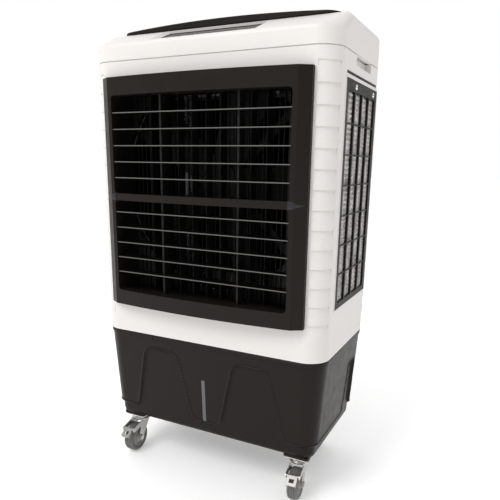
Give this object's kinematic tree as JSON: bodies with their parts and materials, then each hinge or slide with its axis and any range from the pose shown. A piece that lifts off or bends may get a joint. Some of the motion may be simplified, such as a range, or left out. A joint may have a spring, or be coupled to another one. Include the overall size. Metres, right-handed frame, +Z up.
{
  "type": "evaporative cooler",
  "caption": "Portable evaporative cooler: tapered water tank on swivel casters, ribbed cabinet with wet pads, fan behind swinging louvres, and a hinged top door.",
  "frame": {"origin": "floor level, at the middle of the footprint (centre of the bounding box in X and Y)", "axes": "+Z up, the air outlet faces -Y, +X is the right-hand side seen from the front"},
  "size_m": [0.605, 0.402, 1.082],
  "materials": {
    "white_plastic": "satin moulded",
    "black_plastic": "satin moulded",
    "brown_plastic": "satin moulded",
    "silver_plastic": "satin film",
    "button_plastic": "satin",
    "grey_window": "translucent",
    "pad_paper": "corrugated cellulose",
    "zinc": "zinc plated",
    "motor_steel": "satin paint",
    "caster_rubber": "moulded grey",
    "feed_plastic": "natural",
    "float_plastic": "moulded",
    "screw_steel": "bright"
  },
  "bodies": {
    "cabinet": {"water_tank": "brown_plastic", "level_window": "grey_window", "cabinet_shell": "white_plastic", "top_cover": "white_plastic", "control_panel": "silver_plastic", "front_bezel": "brown_plastic", "louvre_frame": "black_plastic", "fan_shroud": "black_plastic", "fan_motor": "motor_steel", "water_pump": "black_plastic", "water_feed": "feed_plastic", "float_valve": "feed_plastic", "caster_plates": "zinc", "cabinet_screws": "screw_steel", "power_inlet": "black_plastic", "swing_motor": "zinc"},
    "door": {"top_door": "brown_plastic"},
    "power_button": {"power_button": "button_plastic"},
    "speed_button": {"speed_button": "button_plastic"},
    "swing_button": {"swing_button": "button_plastic"},
    "blade_1": {"blade_1": "black_plastic"},
    "blade_2": {"blade_2": "black_plastic"},
    "blade_3": {"blade_3": "black_plastic"},
    "blade_4": {"blade_4": "black_plastic"},
    "blade_5": {"blade_5": "black_plastic"},
    "blade_6": {"blade_6": "black_plastic"},
    "blade_7": {"blade_7": "black_plastic"},
    "blade_8": {"blade_8": "black_plastic"},
    "blade_9": {"blade_9": "black_plastic"},
    "blade_10": {"blade_10": "black_plastic"},
    "blade_tie": {"blade_tie_bar": "black_plastic"},
    "vane_1": {"vane_1": "black_plastic"},
    "vane_2": {"vane_2": "black_plastic"},
    "vane_3": {"vane_3": "black_plastic"},
    "vane_4": {"vane_4": "black_plastic"},
    "vane_5": {"vane_5": "black_plastic"},
    "vane_6": {"vane_6": "black_plastic"},
    "vane_7": {"vane_7": "black_plastic"},
    "vane_8": {"vane_8": "black_plastic"},
    "vane_9": {"vane_9": "black_plastic"},
    "vane_tie": {"vane_link": "black_plastic"},
    "fan": {"fan": "black_plastic"},
    "left_pad_panel": {"left_grille": "black_plastic", "left_pad": "pad_paper"},
    "right_pad_panel": {"right_grille": "black_plastic", "right_pad": "pad_paper"},
    "rear_pad_panel": {"rear_grille": "black_plastic", "rear_pad": "pad_paper"},
    "caster_front_left": {"fork_front_left": "zinc"},
    "wheel_front_left": {"wheel_front_left": "caster_rubber"},
    "brake_front_left": {"pedal_left": "zinc"},
    "caster_front_right": {"fork_front_right": "zinc"},
    "wheel_front_right": {"wheel_front_right": "caster_rubber"},
    "brake_front_right": {"pedal_right": "zinc"},
    "caster_rear_left": {"fork_rear_left": "zinc"},
    "wheel_rear_left": {"wheel_rear_left": "caster_rubber"},
    "caster_rear_right": {"fork_rear_right": "zinc"},
    "wheel_rear_right": {"wheel_rear_right": "caster_rubber"},
    "drain_plug": {"drain_plug": "black_plastic"},
    "float": {"float_arm": "float_plastic"}
  },
  "joints": [
    {"name": "door_hinge", "type": "hinge", "parent": "cabinet", "child": "door", "pos_m": [0, 0.171, 1.075], "axis": [-1, 0, 0], "range_deg": [0, 105]},
    {"name": "power_button_press", "type": "slide", "parent": "cabinet", "child": "power_button", "axis": [0, 0.3914, -0.9202], "range_m": [0, 0.0015], "stiffness_N_per_m": 400, "springref_m": -0.0008},
    {"name": "speed_button_press", "type": "slide", "parent": "cabinet", "child": "speed_button", "axis": [0, 0.3914, -0.9202], "range_m": [0, 0.0015], "stiffness_N_per_m": 400, "springref_m": -0.0008},
    {"name": "swing_button_press", "type": "slide", "parent": "cabinet", "child": "swing_button", "axis": [0, 0.3914, -0.9202], "range_m": [0, 0.0015], "stiffness_N_per_m": 400, "springref_m": -0.0008},
    {"name": "blade_1_pivot", "type": "hinge", "parent": "cabinet", "child": "blade_1", "pos_m": [0, -0.175, 0.5135], "axis": [1, 0, 0], "range_deg": [-40, 40]},
    {"name": "blade_2_pivot", "type": "hinge", "parent": "cabinet", "child": "blade_2", "pos_m": [0, -0.175, 0.5495], "axis": [1, 0, 0], "range_deg": [-40, 40]},
    {"name": "blade_3_pivot", "type": "hinge", "parent": "cabinet", "child": "blade_3", "pos_m": [0, -0.175, 0.5855], "axis": [1, 0, 0], "range_deg": [-40, 40]},
    {"name": "blade_4_pivot", "type": "hinge", "parent": "cabinet", "child": "blade_4", "pos_m": [0, -0.175, 0.6215], "axis": [1, 0, 0], "range_deg": [-40, 40]},
    {"name": "blade_5_pivot", "type": "hinge", "parent": "cabinet", "child": "blade_5", "pos_m": [0, -0.175, 0.6575], "axis": [1, 0, 0], "range_deg": [-40, 40]},
    {"name": "blade_6_pivot", "type": "hinge", "parent": "cabinet", "child": "blade_6", "pos_m": [0, -0.175, 0.737], "axis": [1, 0, 0], "range_deg": [-40, 40]},
    {"name": "blade_7_pivot", "type": "hinge", "parent": "cabinet", "child": "blade_7", "pos_m": [0, -0.175, 0.773], "axis": [1, 0, 0], "range_deg": [-40, 40]},
    {"name": "blade_8_pivot", "type": "hinge", "parent": "cabinet", "child": "blade_8", "pos_m": [0, -0.175, 0.809], "axis": [1, 0, 0], "range_deg": [-40, 40]},
    {"name": "blade_9_pivot", "type": "hinge", "parent": "cabinet", "child": "blade_9", "pos_m": [0, -0.175, 0.845], "axis": [1, 0, 0], "range_deg": [-40, 40]},
    {"name": "blade_10_pivot", "type": "hinge", "parent": "cabinet", "child": "blade_10", "pos_m": [0, -0.175, 0.881], "axis": [1, 0, 0], "range_deg": [-40, 40]},
    {"name": "blade_tie_pivot", "type": "hinge", "parent": "blade_1", "child": "blade_tie", "pos_m": [0.212, -0.163, 0.5135], "axis": [1, 0, 0], "range_deg": [-40, 40]},
    {"name": "vane_1_pivot", "type": "hinge", "parent": "cabinet", "child": "vane_1", "pos_m": [-0.148, -0.127, 0.693], "axis": [0, 0, 1], "range_deg": [-40, 40]},
    {"name": "vane_2_pivot", "type": "hinge", "parent": "cabinet", "child": "vane_2", "pos_m": [-0.111, -0.127, 0.693], "axis": [0, 0, 1], "range_deg": [-40, 40]},
    {"name": "vane_3_pivot", "type": "hinge", "parent": "cabinet", "child": "vane_3", "pos_m": [-0.074, -0.127, 0.693], "axis": [0, 0, 1], "range_deg": [-40, 40]},
    {"name": "vane_4_pivot", "type": "hinge", "parent": "cabinet", "child": "vane_4", "pos_m": [-0.037, -0.127, 0.693], "axis": [0, 0, 1], "range_deg": [-40, 40]},
    {"name": "vane_5_pivot", "type": "hinge", "parent": "cabinet", "child": "vane_5", "pos_m": [0, -0.127, 0.693], "axis": [0, 0, 1], "range_deg": [-40, 40]},
    {"name": "vane_6_pivot", "type": "hinge", "parent": "cabinet", "child": "vane_6", "pos_m": [0.037, -0.127, 0.693], "axis": [0, 0, 1], "range_deg": [-40, 40]},
    {"name": "vane_7_pivot", "type": "hinge", "parent": "cabinet", "child": "vane_7", "pos_m": [0.074, -0.127, 0.693], "axis": [0, 0, 1], "range_deg": [-40, 40]},
    {"name": "vane_8_pivot", "type": "hinge", "parent": "cabinet", "child": "vane_8", "pos_m": [0.111, -0.127, 0.693], "axis": [0, 0, 1], "range_deg": [-40, 40]},
    {"name": "vane_9_pivot", "type": "hinge", "parent": "cabinet", "child": "vane_9", "pos_m": [0.148, -0.127, 0.693], "axis": [0, 0, 1], "range_deg": [-40, 40]},
    {"name": "vane_link_pivot", "type": "hinge", "parent": "vane_1", "child": "vane_tie", "pos_m": [-0.148, -0.116, 0.693], "axis": [0, 0, 1], "range_deg": [-40, 40]},
    {"name": "fan_spin", "type": "hinge", "parent": "cabinet", "child": "fan", "pos_m": [0, -0.064, 0.729], "axis": [0, 1, 0], "continuous": true},
    {"name": "left_panel_pull", "type": "slide", "parent": "cabinet", "child": "left_pad_panel", "axis": [-1, 0, 0], "range_m": [0, 0.12]},
    {"name": "right_panel_pull", "type": "slide", "parent": "cabinet", "child": "right_pad_panel", "axis": [1, 0, 0], "range_m": [0, 0.12]},
    {"name": "rear_panel_pull", "type": "slide", "parent": "cabinet", "child": "rear_pad_panel", "axis": [0, 1, 0], "range_m": [0, 0.12]},
    {"name": "front_left_swivel", "type": "hinge", "parent": "cabinet", "child": "caster_front_left", "pos_m": [-0.236, -0.104, 0.098], "axis": [0, 0, 1], "continuous": true},
    {"name": "front_left_roll", "type": "hinge", "parent": "caster_front_left", "child": "wheel_front_left", "pos_m": [-0.23502, -0.13198, 0.0375], "axis": [0.9994, 0.0349, 0], "continuous": true},
    {"name": "pedal_left_hinge", "type": "hinge", "parent": "caster_front_left", "child": "brake_front_left", "pos_m": [-0.23405, -0.15997, 0.071], "axis": [0.9994, 0.0349, 0], "range_deg": [0, 12]},
    {"name": "front_right_swivel", "type": "hinge", "parent": "cabinet", "child": "caster_front_right", "pos_m": [0.236, -0.104, 0.098], "axis": [0, 0, 1], "continuous": true},
    {"name": "front_right_roll", "type": "hinge", "parent": "caster_front_right", "child": "wheel_front_right", "pos_m": [0.23893, -0.13185, 0.0375], "axis": [0.9945, 0.1045, 0], "continuous": true},
    {"name": "pedal_right_hinge", "type": "hinge", "parent": "caster_front_right", "child": "brake_front_right", "pos_m": [0.24185, -0.15969, 0.071], "axis": [0.9945, 0.1045, 0], "range_deg": [0, 12]},
    {"name": "rear_left_swivel", "type": "hinge", "parent": "cabinet", "child": "caster_rear_left", "pos_m": [-0.212, 0.128, 0.098], "axis": [0, 0, 1], "continuous": true},
    {"name": "rear_left_roll", "type": "hinge", "parent": "caster_rear_left", "child": "wheel_rear_left", "pos_m": [-0.18443, 0.13286, 0.0375], "axis": [-0.1736, 0.9848, 0], "continuous": true},
    {"name": "rear_right_swivel", "type": "hinge", "parent": "cabinet", "child": "caster_rear_right", "pos_m": [0.212, 0.128, 0.098], "axis": [0, 0, 1], "continuous": true},
    {"name": "rear_right_roll", "type": "hinge", "parent": "caster_rear_right", "child": "wheel_rear_right", "pos_m": [0.18427, 0.1319, 0.0375], "axis": [-0.1392, -0.9903, 0], "continuous": true},
    {"name": "drain_plug_pull", "type": "slide", "parent": "cabinet", "child": "drain_plug", "axis": [0, 1, 0], "range_m": [0, 0.03]},
    {"name": "float_hinge", "type": "hinge", "parent": "cabinet", "child": "float", "pos_m": [0.268, 0.137, 0.364], "axis": [-1, 0, 0], "range_deg": [0, 24]}
  ],
  "couplings": [
    {"joint": "blade_2_pivot", "follows": "blade_1_pivot", "ratio": 1},
    {"joint": "blade_3_pivot", "follows": "blade_1_pivot", "ratio": 1},
    {"joint": "blade_4_pivot", "follows": "blade_1_pivot", "ratio": 1},
    {"joint": "blade_5_pivot", "follows": "blade_1_pivot", "ratio": 1},
    {"joint": "blade_6_pivot", "follows": "blade_1_pivot", "ratio": 1},
    {"joint": "blade_7_pivot", "follows": "blade_1_pivot", "ratio": 1},
    {"joint": "blade_8_pivot", "follows": "blade_1_pivot", "ratio": 1},
    {"joint": "blade_9_pivot", "follows": "blade_1_pivot", "ratio": 1},
    {"joint": "blade_10_pivot", "follows": "blade_1_pivot", "ratio": 1},
    {"joint": "blade_tie_pivot", "follows": "blade_1_pivot", "ratio": -1},
    {"joint": "vane_2_pivot", "follows": "vane_1_pivot", "ratio": 1},
    {"joint": "vane_3_pivot", "follows": "vane_1_pivot", "ratio": 1},
    {"joint": "vane_4_pivot", "follows": "vane_1_pivot", "ratio": 1},
    {"joint": "vane_5_pivot", "follows": "vane_1_pivot", "ratio": 1},
    {"joint": "vane_6_pivot", "follows": "vane_1_pivot", "ratio": 1},
    {"joint": "vane_7_pivot", "follows": "vane_1_pivot", "ratio": 1},
    {"joint": "vane_8_pivot", "follows": "vane_1_pivot", "ratio": 1},
    {"joint": "vane_9_pivot", "follows": "vane_1_pivot", "ratio": 1},
    {"joint": "vane_link_pivot", "follows": "vane_1_pivot", "ratio": -1}
  ]
}
